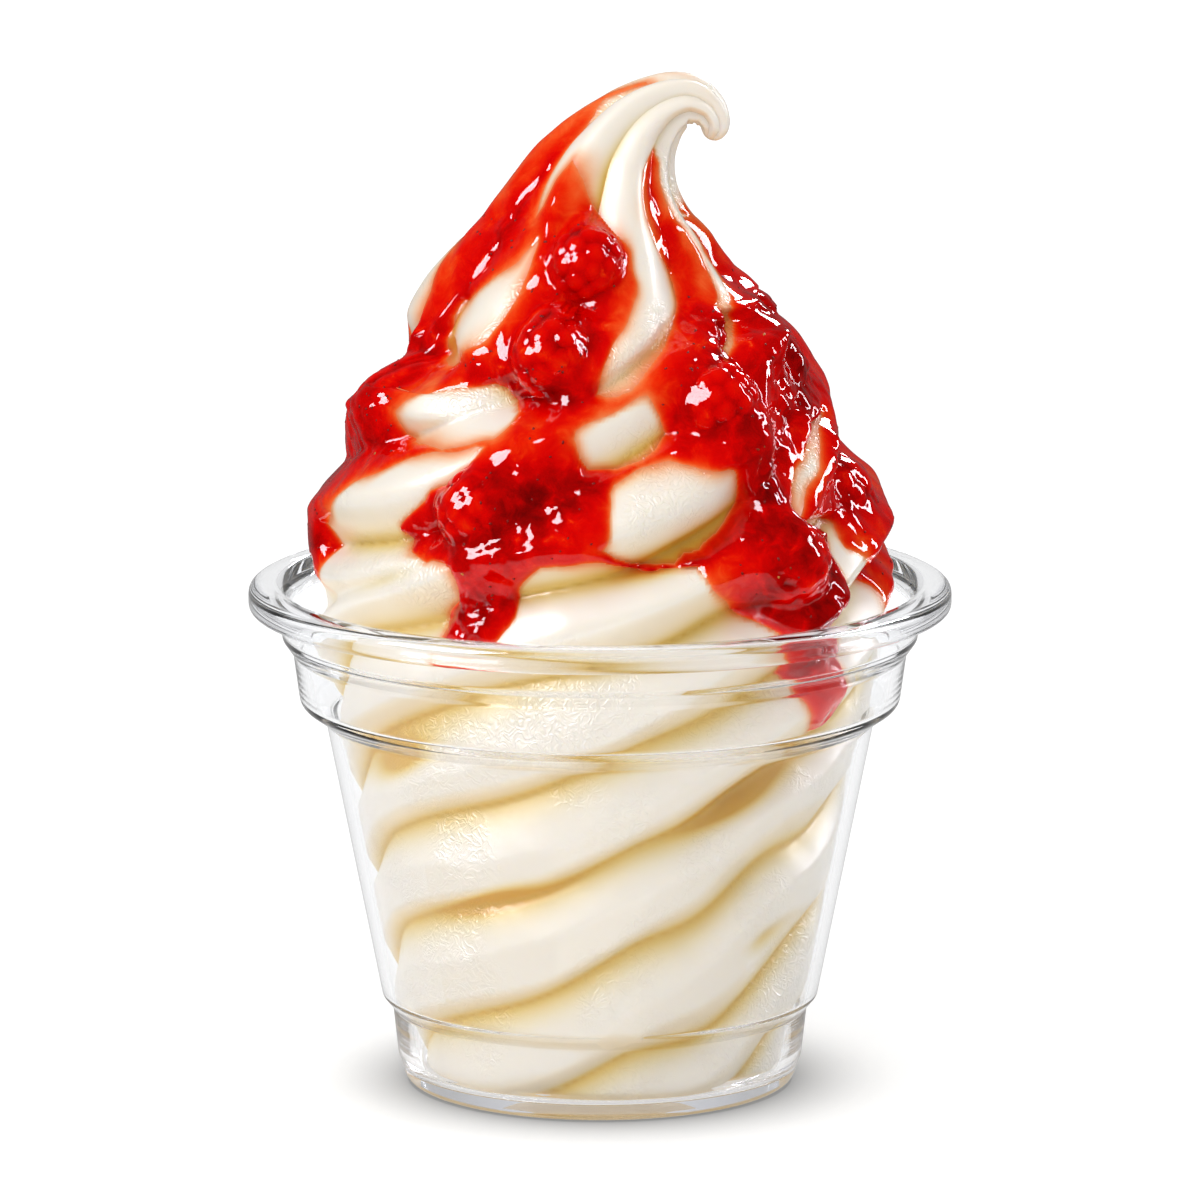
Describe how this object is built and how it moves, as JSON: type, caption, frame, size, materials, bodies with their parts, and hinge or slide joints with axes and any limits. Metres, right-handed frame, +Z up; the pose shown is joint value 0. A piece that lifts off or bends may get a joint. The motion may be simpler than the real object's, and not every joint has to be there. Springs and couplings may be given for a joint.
{
  "type": "ice cream sundae",
  "caption": "Swirled soft-serve ice cream with a hooked tip, glossy red berry sauce and whole berries, heaped in a clear round dessert cup.",
  "frame": {"origin": "centre of the cup's foot, on the surface it stands on", "axes": "+Z up along the cup's axis; the front, with the tip hooking to its right (+X), faces -Y"},
  "size_m": [0.092, 0.092, 0.1337],
  "materials": {
    "clear_plastic": "clear, gloss",
    "cream": "smooth, slightly wet ice cream",
    "sauce": "wet gloss",
    "berry": "wet gloss"
  },
  "bodies": {
    "root": {"cup": "clear_plastic", "ice_cream": "cream", "berry_1": "berry", "berry_2": "berry", "berry_3": "berry", "berry_4": "berry", "berry_5": "berry", "berry_6": "berry", "berry_7": "berry", "berry_8": "berry", "berry_9": "berry"}
  },
  "joints": []
}
